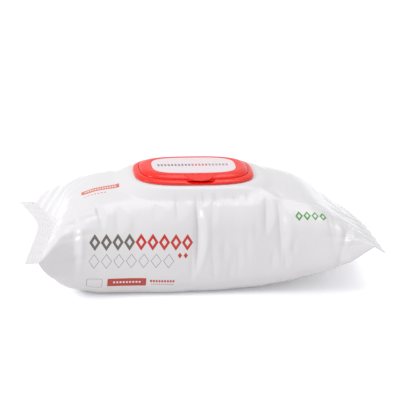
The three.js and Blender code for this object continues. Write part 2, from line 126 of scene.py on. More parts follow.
DOME_EDGE = 0.3
BASE_EDGE, FLAP_EDGE, LABEL_EDGE = 0.22, 0.2, 0.06


def clamp01(t):
    return min(1.0, max(0.0, t))


def smooth(t):
    t = clamp01(t)
    return t * t * (3 - 2 * t)


def mix(a, b, t):
    return a + (b - a) * t


def curve_through(knots):
    """A smooth curve through (x, value) knots that never overshoots them."""
    slopes = [(b[1] - a[1]) / (b[0] - a[0]) for a, b in zip(knots, knots[1:])]
    tangents = [slopes[0]]
    for before, after in zip(slopes, slopes[1:]):
        product = before * after
        tangents.append(0 if product <= 0 else 2 * product / (before + after))
    tangents.append(slopes[-1])

    def value(x):
        if x <= knots[0][0]:
            return knots[0][1]
        if x >= knots[-1][0]:
            return knots[-1][1]
        i = next(n for n, knot in enumerate(knots) if knot[0] >= x) - 1
        span = knots[i + 1][0] - knots[i][0]
        t = (x - knots[i][0]) / span
        return (
            (2 * t**3 - 3 * t**2 + 1) * knots[i][1]
            + (t**3 - 2 * t**2 + t) * span * tangents[i]
            + (3 * t**2 - 2 * t**3) * knots[i + 1][1]
            + (t**3 - t**2) * span * tangents[i + 1]
        )

    return value


def per_end(knots_of):
    """A curve over the distance outward from the lid's middle, one for each end."""
    left, right = curve_through(knots_of(LEFT_END)), curve_through(knots_of(RIGHT_END))
    return lambda x: left(-x) if x < 0 else right(x)


for end in (LEFT_END, RIGHT_END):
    end["crease"] = end["reach"] - end["end_run"]

top_height = per_end(lambda end: [
    (0, PACK_HEIGHT - CROWN_DROP),
    (LID_LENGTH / 2, PACK_HEIGHT - end["lid_end_drop"]),
    (end["shoulder"], PACK_HEIGHT - end["shoulder_drop"]),
    (end["crease"] - FOLD_RUN, PACK_HEIGHT - end["crease_drop"] + FOLD_BEND),
    (end["crease"], PACK_HEIGHT - end["crease_drop"]),
    (end["reach"], end["seal_rise"] + FIN_THICKNESS / 2),
])
underside_height = per_end(lambda end: [
    (0, -FLOOR_PRESS - FLOOR_SOFTNESS),
    (end["stands_to"], -FLOOR_PRESS - FLOOR_SOFTNESS),
    (end["crease"] - FOLD_RUN, end["crease_lift"] - FOLD_BEND),
    (end["crease"], end["crease_lift"]),
    (end["reach"], end["seal_rise"] - FIN_THICKNESS / 2),
])
top_power = per_end(lambda end: [
    (0, POWER["top_middle"]),
    (BOXY_REACH, POWER["top_middle"]),
    (ROUND_REACH, POWER["top_shoulder"]),
    (end["crease"], end["crease_power"]),
    (end["reach"], POWER["seal"]),
])
bottom_power = per_end(lambda end: [
    (0, POWER["bottom_middle"]),
    (end["crease"], POWER["bottom_crease"]),
    (end["reach"], POWER["seal"]),
])
lean = per_end(lambda end: [(0, 0), (LID_LENGTH / 2, 0), (end["reach"], end["lean"])])
waist = per_end(lambda end: [(0, WAIST_SHARE), (end["crease"], END_WAIST_SHARE)])

# Film points: along the top and the underside of a section, and sections along the pack
TOP_STEPS, BOTTOM_STEPS = 136, 80
BODY_STEPS = 400
CRIMP_RIBS, STATIONS_PER_RIB = 5, 4
RIB_HEIGHT = 0.4
OUTLINE_SAMPLES = 240
HALF_CIRCLE = [
    (math.cos(math.pi * i / OUTLINE_SAMPLES), math.sin(math.pi * i / OUTLINE_SAMPLES))
    for i in range(OUTLINE_SAMPLES + 1)
]


def half_outline(half_width, height, squareness, steps):
    """Points at equal film lengths along half a superellipse, from the front to the back."""
    power = 2 / squareness
    points = [
        (-half_width * math.copysign(abs(c) ** power, c), height * abs(s) ** power)
        for c, s in HALF_CIRCLE
    ]
    run = [0.0]
    for a, b in zip(points, points[1:]):
        run.append(run[-1] + math.hypot(b[0] - a[0], b[1] - a[1]))
    outline, k = [], 0
    for j in range(steps + 1):
        want = run[-1] * j / steps
        while k < OUTLINE_SAMPLES - 1 and run[k + 1] < want:
            k += 1
        t = (want - run[k]) / (run[k + 1] - run[k])
        outline.append((mix(points[k][0], points[k + 1][0], t), mix(points[k][1], points[k + 1][1], t)))
    return outline, run[-1]


def section_outline(x):
    """The film's section at x, front over the top to the back and then back underneath.

    Each point is (y, z, film length up from the widest line of the front, is behind the seam).
    The length runs on over the top and down the back, and ends at the seam of the underside."""
    base, height = underside_height(x), top_height(x) - underside_height(x)
    below = height * waist(x)
    half_width = (SEAL_WIDTH - (SEAL_WIDTH - PACK_DEPTH) * height / PACK_HEIGHT) / 2
    top, top_run = half_outline(half_width, height - below, top_power(x), TOP_STEPS)
    bottom, bottom_run = half_outline(half_width, below, bottom_power(x), BOTTOM_STEPS)
    level = base + below
    points = [(y, level + z, top_run * j / TOP_STEPS, False) for j, (y, z) in enumerate(top)]
    under = []
    for j, (y, z) in enumerate(bottom):
        behind = 2 * j > BOTTOM_STEPS
        run = bottom_run * j / BOTTOM_STEPS
        under.append((y, level - z, top_run + bottom_run - run if behind else -run, behind))
    return points + under[1:-1][::-1]


def lid_distance(x, y):
    """How far out from the lid's outline a point of the top film is."""
    total = abs(2 * x / LID_LENGTH) ** LID_POWER + abs(2 * y / LID_DEPTH) ** LID_POWER
    return (total ** (1 / LID_POWER) - 1) * LID_DEPTH / 2


def on_floor(z):
    if z >= FLOOR_SOFTNESS:
        return z
    if z <= -FLOOR_SOFTNESS:
        return 0.0
    return (z + FLOOR_SOFTNESS) ** 2 / (4 * FLOOR_SOFTNESS)


def seam_lift(y):
    """The folded back seam lies flat on the floor and lifts the film just beside it."""
    beside = abs(y) - SEAM_WIDTH / 2
    if beside <= 0 or beside >= SEAM_SLOPE:
        return 0.0
    return SEAM_STEP * (1 - smooth(beside / SEAM_SLOPE))


def film_point(x, y, level, is_top):
    """Bends a section's point with the seal's bow, lean and gathers, and settles it on the floor."""
    end = LEFT_END if x < 0 else RIGHT_END
    side = -1 if x < 0 else 1
    share = 2 * y / SEAL_WIDTH
    bow = math.hypot(share, BOW_SOFTNESS) - BOW_SOFTNESS
    start = end["crease"] - BOW_RUN
    to_seal = smooth((abs(x) - start) / (end["reach"] - start))
    crimp_run = max(0, abs(x) - end["reach"])
    fall = math.radians(end["crimp_fall"])
    outward = (end["ear"] * bow - end["slew"] * share) * to_seal
    px = x + side * (outward - crimp_run * (1 - math.cos(fall)))
    from_seal = abs(abs(x) - end["reach"])
    wave = math.sin(2 * math.pi * GATHER_COUNT * share + GATHER_SHIFT * side)
    fine = math.sin(2 * math.pi * FINE_GATHER_COUNT * share + FINE_GATHER_SHIFT * side)
    gather = GATHER_DEPTH * wave * math.exp(-from_seal / GATHER_FADE)
    gather += FINE_GATHER_DEPTH * fine * math.exp(-from_seal / FINE_GATHER_FADE)
    z = level - y * math.tan(math.radians(lean(x))) - end["droop"] * bow * to_seal + gather
    z -= crimp_run * math.sin(fall)
    if is_top:
        z = mix(z, PACK_HEIGHT, 1 - smooth((lid_distance(px, y) - PAD_MARGIN) / PAD_BLEND))
        return px, y, max(0.0, z)
    return px, y, max(0.0, on_floor(z)) + seam_lift(y) * (1 - to_seal)


# Creases pressed into the film, each from its top to its foot at (x, film length up from the widest
# line of the front): a sharp valley with a narrow left wall and a broad right one that ends in a ridge.
# Each is (x and length of the top, x and length of the foot, left width, right width, depth). Where the
# depth is negative, the film stands up along the line instead.
CREASES = [
    (-95.2, 47, -94.6, -22, 3.4, 2.6, 2.4),
    (-93.6, 41, -93.0, 18, 1.4, 3.0, 0.8),
    (-79.5, 50, -76.0, 22, 1.6, 3.6, 1.2),
    (-77.0, 34, -79.5, 47, 1.4, 2.6, 0.9),
    (-64.5, 44, -64.5, 18, 2.2, 6.0, 1.0),
    (-52.0, 36, -51.0, 4, 3.0, 7.0, 0.6),
    (-36.0, 46, -35.0, 30, 2.2, 6.0, 0.6),
    (-17.5, 56, -18.0, 30, 2.0, 6.5, 1.1),
    (-2.4, 54, -2.0, -12, 1.8, 4.8, 3.2),
    (-6.5, 13, -5.2, -20, 2.0, 3.6, 0.9),
    (3.4, 56, 4.0, 44, 1.6, 4.0, 1.2),
    (11.0, 54, 15.6, 43, 1.6, 3.6, 1.1),
    (10.2, 50, 9.0, 24, 1.4, 3.6, 0.6),
    (8.4, 18, 13.0, -23, 1.6, 3.4, 0.6),
    (18.5, 18, 19.2, -4, 1.4, 3.4, 0.45),
    (23.8, -2, 24.8, -20, 1.4, 3.6, 0.4),
    (29.5, 12, 30.8, -16, 1.4, 3.4, 0.5),
    (36.2, 26, 37.2, -6, 1.4, 3.4, 0.4),
    (43.0, 32, 42.4, 10, 1.4, 3.4, 0.35),
    (27.0, 52, 30.0, 42, 1.8, 3.6, 0.8),
    (37.0, 51, 40.0, 41, 1.8, 3.6, 0.8),
    (52.4, 48, 50.6, 14, 2.2, 5.0, 1.7),
    (61.0, 45, 63.9, -8, 2.6, 5.0, 2.0),
    (56.5, 4, 57.4, -13, 1.4, 3.0, 0.5),
    (66.0, 6, 67.8, -17, 1.4, 3.4, 0.6),
    (72.2, 12, 73.2, -6, 1.4, 3.2, 0.4),
    (98.0, 40, 103.6, 1, 3.0, 4.0, 1.0),
    (104.0, 44, 104.8, 8, 2.0, 3.4, 1.0),
    (116.5, 40, 109.2, 0, 2.2, 3.2, 2.0),
    (108.6, 4, 108.6, -24, 2.6, 5.0, 1.8),
    (119.5, 34, 114.4, 8, 1.8, 2.6, 1.0),
    (-106.0, 84, -100.0, 52, 4.0, 3.0, 1.0),
    (48.0, 57, 66.0, 41, 4.0, 4.0, -1.4),
    (58.0, 44.5, 92.0, 40.5, 4.0, 4.0, -1.4),
    (80.0, 43, 118.0, 33, 4.0, 4.0, -1.5),
    (104.0, 39, 128.0, 22, 3.5, 3.5, -0.9),
]
FOREVER = 1e4
# Folds of the back, like those of the front, and those that run in from the two end seals: how many,
# and their smallest and largest sizes
BACK_FOLDS, BACK_FOLD_SPAN, BACK_FOLD_SLANT = 17, (-90, 104), (-2, 2)
BACK_FOLD_TOP, BACK_FOLD_FOOT, BACK_FOLD_DEPTH = (142, 168), (186, 226), (0.4, 1.9)
BACK_FOLD_LEFT, BACK_FOLD_RIGHT = (1.6, 2.6), (3, 7)
END_FOLDS, END_FOLD_START, END_FOLD_RUN, END_FOLD_DEPTH = 19, (1, 6), (16, 40), (0.3, 1.0)
END_FOLD_LEFT, END_FOLD_RIGHT = (1.4, 2.6), (2, 4)
SEAL_SHARE = 0.76
# Fine creases that a handled film has all round
FINE_CREASES = 90
FINE_LENGTH, FINE_WIDTH, FINE_DEPTH = (12, 38), (1.4, 3.6), (0.05, 0.24)
FINE_SLANT, FINE_END_SLANT, FINE_LOPSIDEDNESS, FINE_SEAL_MARGIN = 0.1, 1.3, 1.6, 2
FILM_BOTTOM, FILM_TOP = -60, 260
RELIEF_FADE = 6
CREASE_TAPER, CREASE_END_WIDTH = 1.2, 0.45
CREASE_RIDGE, CREASE_RIDGE_PLACE, CREASE_RIDGE_WIDTH = 0.42, 1.5, 0.7
CREASE_SOFTNESS = 0.03
CREASE_REACH = 5
# Broad billows of a soft pack
BILLOW_DEPTH, BILLOW_LENGTH, BILLOW_HEIGHT, BILLOW_DRAW = 0.7, 20, 44, 0.3


def fine_creases():
    """Seeded small creases. Near an end they lean in towards its seal."""
    draw = random.Random(11)
    creases = []
    while len(creases) < FINE_CREASES:
        x = draw.uniform(FINE_SEAL_MARGIN - LEFT_END["reach"], RIGHT_END["reach"] - FINE_SEAL_MARGIN)
        along = draw.uniform(FILM_BOTTOM, FILM_TOP)
        length, width = draw.uniform(*FINE_LENGTH), draw.uniform(*FINE_WIDTH)
        depth = mix(*FINE_DEPTH, draw.random() ** 2)
        slant = draw.gauss(0, FINE_SLANT)
        end = LEFT_END if x < 0 else RIGHT_END
        near_end = smooth((abs(x) - end["shoulder"]) / (end["reach"] - end["shoulder"]))
        slant += near_end * draw.choice((-FINE_END_SLANT, FINE_END_SLANT))
        creases.append((
            x - slant * length / 2, along + length / 2, x + slant * length / 2, along - length / 2,
            width, width * FINE_LOPSIDEDNESS, depth * (1 + near_end),
        ))
    return creases


def long_folds():
    """Seeded upright folds of the back, and folds that fan out from the end seals."""
    draw = random.Random(5)
    folds = []
    for i in range(BACK_FOLDS):
        x = mix(*BACK_FOLD_SPAN, (i + draw.uniform(0.1, 0.9)) / BACK_FOLDS)
        folds.append((
            x + draw.uniform(*BACK_FOLD_SLANT), draw.uniform(*BACK_FOLD_FOOT),
            x, draw.uniform(*BACK_FOLD_TOP),
            draw.uniform(*BACK_FOLD_LEFT), draw.uniform(*BACK_FOLD_RIGHT),
            mix(*BACK_FOLD_DEPTH, draw.random() ** 2),
        ))
    for side, end in ((-1, LEFT_END), (1, RIGHT_END)):
        for i in range(END_FOLDS):
            along = mix(FILM_BOTTOM, FILM_TOP, (i + draw.random()) / END_FOLDS)
            start, run = end["reach"] - draw.uniform(*END_FOLD_START), draw.uniform(*END_FOLD_RUN)
            folds.append((
                side * start, along * SEAL_SHARE, side * (start - run), along,
                draw.uniform(*END_FOLD_LEFT), draw.uniform(*END_FOLD_RIGHT),
                draw.uniform(*END_FOLD_DEPTH),
            ))
    return folds


def crease_push(x, along, creases):
    """How far the creases push the film out of its smooth form at one point."""
    push = 0.0
    for x_top, top, x_foot, foot, left, right, depth in creases:
        run_x, run_s = x_foot - x_top, foot - top
        length = math.hypot(run_x, run_s)
        share = ((x - x_top) * run_x + (along - top) * run_s) / (length * length)
        if share <= 0 or share >= 1:
            continue
        off = ((along - top) * run_x - (x - x_top) * run_s) / length
        taper = math.sin(math.pi * share) ** CREASE_TAPER
        across = off / ((left if off < 0 else right) * mix(CREASE_END_WIDTH, 1, taper))
        if abs(across) > CREASE_REACH:
            continue
        valley = math.exp(CREASE_SOFTNESS**0.5 - math.sqrt(across * across + CREASE_SOFTNESS))
        ridge = 0.0
        if across > 0:
            ridge = CREASE_RIDGE * math.exp(-(((across - CREASE_RIDGE_PLACE) / CREASE_RIDGE_WIDTH) ** 2))
        push += depth * taper * (ridge - valley)
    return push


def billow(x, along):
    """A slow rise and fall of the film, taller than it is wide."""
    spot = Vector((x / BILLOW_LENGTH, along / BILLOW_HEIGHT, BILLOW_DRAW))
    return BILLOW_DEPTH * noise.noise(spot)


def stations_along():
    """Stations along the pack, fine through the crimps."""
    count = CRIMP_RIBS * STATIONS_PER_RIB
    crimp = [CRIMP_LENGTH * i / count for i in range(count + 1)]
    body = [
        mix(-LEFT_END["reach"], RIGHT_END["reach"], (i + 1) / BODY_STEPS) for i in range(BODY_STEPS - 1)
    ]
    return (
        [-LEFT_END["reach"] - run for run in reversed(crimp)] + body
        + [RIGHT_END["reach"] + run for run in crimp]
    )


def film_rings():
    """Rings of points round the film, and each point's place on the flat film for its print."""
    rings, places = [], []
    creases = CREASES + long_folds() + fine_creases()
    for x in stations_along():
        near = [
            c for c in creases
            if min(c[0], c[2]) - c[4] * CREASE_REACH < x < max(c[0], c[2]) + c[5] * CREASE_REACH
        ]
        outline = section_outline(x)
        count = len(outline)
        beyond = max(-LEFT_END["reach"] - x, x - RIGHT_END["reach"])
        free = clamp01(-beyond / RELIEF_FADE)
        rib = 0.0
        if beyond > 0:
            rib = RIB_HEIGHT / 2 * math.sin(2 * math.pi * CRIMP_RIBS * beyond / CRIMP_LENGTH)
        ring, place = [], []
        for j, (y, z, along, behind) in enumerate(outline):
            before, after = outline[j - 1], outline[(j + 1) % count]
            ty, tz = after[0] - before[0], after[1] - before[1]
            size = math.hypot(ty, tz)
            relief = crease_push(x, along, near) + billow(x, along) if free else 0.0
            push = free * relief
            px, py, pz = film_point(x, y - push * tz / size, z + push * ty / size, j <= TOP_STEPS)
            ring.append((px, py, pz + rib))
            place.append((x, along, FOREVER if behind else 0.0))
        rings.append(ring)
        places.append(place)
    return rings, places


def new_piece(name, vertices, faces):
    """A mesh object from points in millimetres about the lid's middle, smooth but for its caps."""
    mesh = bpy.data.meshes.new(name)
    mesh.from_pydata([Vector(v) * MM + LID_PLACE for v in vertices], [], faces)
    mesh.validate()
    mesh.shade_smooth()
    for face in mesh.polygons:
        face.use_smooth = len(face.vertices) <= 4
    piece = bpy.data.objects.new(name, mesh)
    bpy.context.scene.collection.objects.link(piece)
    return piece


def make_film_pouch():
    """The folded film, closed at its two crimped edges."""
    rings, places = film_rings()
    count = len(rings[0])
    faces = []
    for i in range(len(rings) - 1):
        for j in range(count):
            k = (j + 1) % count
            faces.append((i * count + j, (i + 1) * count + j, (i + 1) * count + k, i * count + k))
    last = (len(rings) - 1) * count
    faces.append(tuple(range(count)))
    faces.append(tuple(last + j for j in reversed(range(count))))
    piece = new_piece("film_pouch", [p for ring in rings for p in ring], faces)
    place = piece.data.attributes.new("film_place", "FLOAT_VECTOR", "POINT")
    place.data.foreach_set("vector", [v for ring in places for p in ring for v in p])
    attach(piece, "root")
    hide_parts("pouch")
    return piece


def oval_points(length, depth, squareness, inset, z):
    points = []
    for i in range(OVAL_STEPS):
        angle = 2 * math.pi * i / OVAL_STEPS
        c, s = math.cos(angle), math.sin(angle)
        points.append((
            (length / 2 - inset) * math.copysign(abs(c) ** (2 / squareness), c),
            (depth / 2 - inset) * math.copysign(abs(s) ** (2 / squareness), s),
            z,
        ))
    return points


LID_OVAL = (LID_LENGTH, LID_DEPTH, LID_POWER)
MOUTH_OVAL = (MOUTH_LENGTH, MOUTH_DEPTH, MOUTH_POWER)
LABEL_OVAL = (LABEL_LENGTH, LABEL_DEPTH, LABEL_POWER)
LID_LEVEL = PACK_HEIGHT + GLUE_THICKNESS
OVAL_STEPS = 320


def rounded_edge(outline, top_inset, top, side_inset, side, steps=7):
    """A rounded edge from the end of a flat top out and down to an upright side."""
    edge = []
    for i in range(steps + 1):
        angle = math.pi * i / (2 * steps)
        out = math.sin(angle) ** (2 / EDGE_POWER)
        up = max(0.0, math.cos(angle)) ** (2 / EDGE_POWER)
        edge.append((outline, mix(top_inset, side_inset, out), mix(side, top, up)))
    return edge


def swept_ovals(name, profile, closed, level, shape=None):
    """Rings between ovals. A closed profile is a frame, an open one is capped flat at both ends."""
    rings = [oval_points(*outline, inset, z) for outline, inset, z in profile]
    if shape:
        rings = [[shape(n, *point) for point in ring] for n, ring in enumerate(rings)]
    faces = []
    count = len(rings)
    for i in range(count if closed else count - 1):
        following = (i + 1) % count
        for j in range(OVAL_STEPS):
            k = (j + 1) % OVAL_STEPS
            faces.append((
                i * OVAL_STEPS + j, following * OVAL_STEPS + j,
                following * OVAL_STEPS + k, i * OVAL_STEPS + k,
            ))
    if not closed:
        faces.append(tuple(range(OVAL_STEPS)))
        faces.append(tuple((count - 1) * OVAL_STEPS + j for j in reversed(range(OVAL_STEPS))))
    vertices = [(x, y, z + level) for ring in rings for x, y, z in ring]
    return new_piece(name, vertices, faces)


def soften_edges(piece, width, angle=35):
    """Rounds each edge that turns by more than the angle."""
    bevel = piece.modifiers.new("soft_edges", "BEVEL")
    bevel.width = width * MM
    bevel.segments = 2
    bevel.limit_method = "ANGLE"
    bevel.angle_limit = math.radians(angle)
    bevel.harden_normals = True
    bevel.use_clamp_overlap = True


SKIRT_FOOT = BASE_FLOOR + SKIRT_CLEARANCE
FLAP_UNDERSIDE = LID_RISE - LABEL_RECESS - LID_WALL
SKIRT_INSET = RIM_WIDTH + PARTING_GAP
SKIRT_LOOPS = (0.1, 0.5)  # below the rim's top, to keep the skirt straight under the dome's edge
PLATEAU_INSET = (LID_DEPTH - LABEL_DEPTH) / 2 - PLATEAU_MARGIN
LIP_TOP = LID_RISE - LIP_DROP
THUMB_FLOOR = LIP_TOP - LIP_THICKNESS - THUMB_CLEARANCE
HINGE_LINE = LID_DEPTH / 2 - SKIRT_INSET - LID_WALL
BACK_BEVEL = math.tan(math.radians(HINGE_OPENING - 90))
LIP_CREST, LIP_BROW = LID_RISE - LIP_CREST_DROP, LIP_TOP + LIP_BROW_RISE
LIP_BACK = -(LID_DEPTH / 2 - PLATEAU_INSET)
LIP_FRONT = -(LID_DEPTH / 2 - SKIRT_INSET + LIP_REACH)


def lip_height(y):
    """The thumb lip's sloping top."""
    return mix(LIP_CREST, LIP_BROW, clamp01((LIP_BACK - y) / (LIP_BACK - LIP_FRONT)))


def thumb_cut(x, y):
    """1 where the rim is cut down for a thumb under the lip, and 0 elsewhere."""
    off, half_width = x - LIP_SHIFT, LIP_WIDTH / 2 - THUMB_CUT_MARGIN
    if y > 0 or abs(off) >= half_width:
        return 0.0
    return smooth(THUMB_CUT_FLATNESS * (1 - (off / half_width) ** 2) ** THUMB_CUT_POWER)


def make_lid_base():
    """The frame: a floor with a collar round the mouth, a raised rim and the hinge shelf."""
    profile = [
        (LID_OVAL, 0, 0),
        (MOUTH_OVAL, 0, 0),
        (MOUTH_OVAL, 0, COLLAR_HEIGHT),
        (MOUTH_OVAL, -COLLAR_WALL, COLLAR_HEIGHT),
        (MOUTH_OVAL, -COLLAR_WALL, BASE_FLOOR),
        (LID_OVAL, RIM_WIDTH, BASE_FLOOR),
        (LID_OVAL, RIM_WIDTH, RIM_HEIGHT),
        *rounded_edge(LID_OVAL, RIM_WIDTH - RIM_FLAT, RIM_HEIGHT, 0, RIM_EDGE),
    ]
    rim_from, shelf_rings = 6, (5, 6)

    def cut_and_shelf(n, x, y, z):
        if n >= rim_from and z > THUMB_FLOOR:
            z -= (z - THUMB_FLOOR) * thumb_cut(x, y)
        if n in shelf_rings:
            y = min(y, HINGE_LINE + HINGE_GAP)
        return x, y, z

    piece = swept_ovals("lid_base_moulding", profile, True, LID_LEVEL, cut_and_shelf)
    soften_edges(piece, BASE_EDGE)
    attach(piece, "root")
    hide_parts("lid_base")
    return piece


def make_lid_flap():
    """The domed flap, with the label's recess on top, its skirt and its sealing ring below."""
    ring = -COLLAR_WALL - PARTING_GAP
    skirt_top = RIM_HEIGHT + DOME_EDGE
    side = rounded_edge(LID_OVAL, PLATEAU_INSET, LID_RISE, SKIRT_INSET, skirt_top, 14)
    profile = [
        (LABEL_OVAL, -LABEL_MARGIN, LID_RISE - LABEL_RECESS),
        (LABEL_OVAL, -LABEL_MARGIN, LID_RISE),
        *side,
        *[(LID_OVAL, SKIRT_INSET, RIM_HEIGHT - below) for below in SKIRT_LOOPS],
        (LID_OVAL, SKIRT_INSET, SKIRT_FOOT),
        (LID_OVAL, SKIRT_INSET + LID_WALL, SKIRT_FOOT),
        (LID_OVAL, SKIRT_INSET + LID_WALL, skirt_top - LID_WALL / 2),
        (LID_OVAL, PLATEAU_INSET, FLAP_UNDERSIDE),
        (MOUTH_OVAL, ring - COLLAR_WALL, FLAP_UNDERSIDE),
        (MOUTH_OVAL, ring - COLLAR_WALL, SKIRT_FOOT),
        (MOUTH_OVAL, ring, SKIRT_FOOT),
        (MOUTH_OVAL, ring, FLAP_UNDERSIDE),
    ]
    outside = range(2, 2 + len(side))

    def lip_seat_and_back(n, x, y, z):
        if n in outside and y < LIP_BACK and abs(x - LIP_SHIFT) < LIP_WIDTH / 2:
            z = min(z, lip_height(y) - LIP_SEAT)
        y = min(y, HINGE_LINE - BACK_BEVEL * max(0.0, z - RIM_HEIGHT))
        return x, y, z

    piece = swept_ovals("lid_flap_moulding", profile, False, LID_LEVEL, lip_seat_and_back)
    soften_edges(piece, FLAP_EDGE)
    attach(piece, "flap")
    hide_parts("lid_flap")
    return piece


def make_thumb_lip():
    """A half-oval plate that slopes from the flap's flat top to stand out over the rim's cut."""
    around = 96
    # Each ring's share of the lip's half width and reach, and how far it lies under the top
    rings = [
        (0.35, 0), (0.8, 0), (0.93, -0.03), (0.98, -0.16), (1.0, -0.45),
        (0.99, -LIP_THICKNESS), (0.6, -LIP_THICKNESS), (0.3, -LIP_THICKNESS),
    ]
    vertices, faces = [], []
    for reach, drop in rings:
        for i in range(around):
            angle = 2 * math.pi * i / around
            x = LIP_SHIFT + LIP_WIDTH / 2 * reach * math.cos(angle)
            run = reach * math.sin(angle)
            y = LIP_BACK + run * (1 if run > 0 else LIP_BACK - LIP_FRONT)
            vertices.append((x, y, LID_LEVEL + lip_height(min(y, LIP_BACK)) + drop))
    for n in range(len(rings) - 1):
        for i in range(around):
            k = (i + 1) % around
            a, b = n * around, (n + 1) * around
            faces.append((a + i, b + i, b + k, a + k))
    faces.append(tuple(range(around)))
    faces.append(tuple((len(rings) - 1) * around + i for i in reversed(range(around))))
    piece = new_piece("lid_thumb_lip", vertices, faces)
    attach(piece, "flap")
    return piece


def make_living_hinge():
    """The thin web, moulded with the lid, laid flat across the gap between the shelf and the flap."""
    web_top, web_thickness = RIM_HEIGHT - 0.15, 0.3
    overlap, side_gap, rows, columns = 0.6, 1, 12, 44
    front, back = HINGE_LINE - overlap, HINGE_LINE + HINGE_GAP + overlap
    vertices, faces = [], []
    for z in (web_top, web_top - web_thickness):
        for i in range(rows + 1):
            for j in range(columns + 1):
                x = (HINGE_WIDTH / 2 - side_gap) * mix(-1, 1, j / columns)
                vertices.append((x, mix(back, front, i / rows), LID_LEVEL + z))
    layer = (rows + 1) * (columns + 1)
    for i in range(rows):
        for j in range(columns):
            a = i * (columns + 1) + j
            b, c, d = a + 1, a + columns + 2, a + columns + 1
            faces += [(a, d, c, b), (a + layer, b + layer, c + layer, d + layer)]
    edge = (
        [j for j in range(columns)] + [columns + i * (columns + 1) for i in range(rows)]
        + [rows * (columns + 1) + columns - j for j in range(columns)]
        + [(rows - i) * (columns + 1) for i in range(rows)]
    )
    for a, b in zip(edge, edge[1:] + edge[:1]):
        faces.append((a, b, b + layer, a + layer))
    piece = new_piece("living_hinge_web", vertices, faces)
    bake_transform(piece)
    return piece


def make_label():
    """The oval paper label on the floor of the flap's recess."""
    level = LID_LEVEL + LID_RISE - LABEL_RECESS
    profile = [(LABEL_OVAL, 0, LABEL_THICKNESS), (LABEL_OVAL, 0, 0)]
    piece = swept_ovals("lid_label_sheet", profile, False, level)
    soften_edges(piece, LABEL_EDGE)
    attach(piece, "flap")
    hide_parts("lid_label")
    return piece


def colour(hex_code):
    """An sRGB hex colour as linear red, green, blue and alpha."""
    parts = [int(hex_code[i:i + 2], 16) / 255 for i in (1, 3, 5)]
    return (*[p / 12.92 if p <= 0.04045 else ((p + 0.055) / 1.055) ** 2.4 for p in parts], 1.0)


def add_node(tree, kind, values=None, links=None, **settings):
    """Adds a node. values are by socket name or number, links are from other nodes' outputs."""
    node = tree.nodes.new(kind)
    for name, setting in settings.items():
        setattr(node, name, setting)
    for socket, value in (values or {}).items():
        node.inputs[socket].default_value = value
    for socket, output in (links or {}).items():
        tree.links.new(output, node.inputs[socket])
    return node


def new_material(name):
    material = bpy.data.materials.new(name)
    material.use_nodes = True
    material.node_tree.nodes.clear()
    return material, material.node_tree


def finish_material(tree, shader):
    add_node(tree, "ShaderNodeOutputMaterial", links={"Surface": shader.outputs[0]})


# The film's own white and its flexographic inks
FILM_WHITE, PAPER_WHITE = "#EBE9EB", "#F3E9E7"
DARK_INK, PALE_INK, RED_INK, BAR_INK = "#6E6760", "#A9A5A2", "#CE2418", "#BC3A2E"
SOFT_RED_INK, GREEN_INK = "#E07566", "#5BA052"
# The generic print is rows of diamonds, bars and dashes, which follow the film as it bends.
# Each is (first shape's middle x, middle up the film, shapes in the row, their pitch, half length,
# half height, corner or None for a diamond, stroke or None if solid, ink).
PRINT = [
    (-82.0, 15.4, 4, 9.0, 4.4, 6.8, None, 2.4, DARK_INK),
    (-46.0, 15.4, 5, 9.0, 4.4, 6.8, None, 2.4, RED_INK),
    (-82.4, 0.0, 7, 9.7, 4.3, 6.2, None, 0.62, PALE_INK),
    (-15.6, 4.6, 2, 4.6, 1.7, 2.6, None, None, RED_INK),
    (-81.4, -19.6, 1, FOREVER, 6.2, 4.6, 1.4, 0.45, PALE_INK),
    (-56.1, -19.0, 1, FOREVER, 15.2, 3.9, 0.6, None, BAR_INK),
    (-66.0, -18.8, 9, 2.5, 0.75, 0.9, 0.4, None, PAPER_WHITE),
    (-37.2, -17.9, 9, 2.2, 0.8, 1.1, 0.4, None, BAR_INK),
    (-36.4, -21.0, 12, 1.5, 0.4, 0.5, 0.3, None, BAR_INK),
    (-74.2, 70.4, 1, FOREVER, 14.6, 2.9, 0.6, None, SOFT_RED_INK),
    (-85.6, 70.4, 13, 1.9, 0.55, 1.1, 0.3, None, PAPER_WHITE),
    (-86.8, 63.2, 7, 2.6, 0.8, 0.6, 0.3, None, SOFT_RED_INK),
    (77.0, 27.0, 4, 6.2, 3.0, 4.2, None, 1.6, GREEN_INK),
]
# The print climbs this much for each millimetre along the pack
PRINT_RISE = 0.022
# Small wrinkles of the laminate: how far apart and how tall
WRINKLE_PITCH, WRINKLE_HEIGHT = 2.2, 9


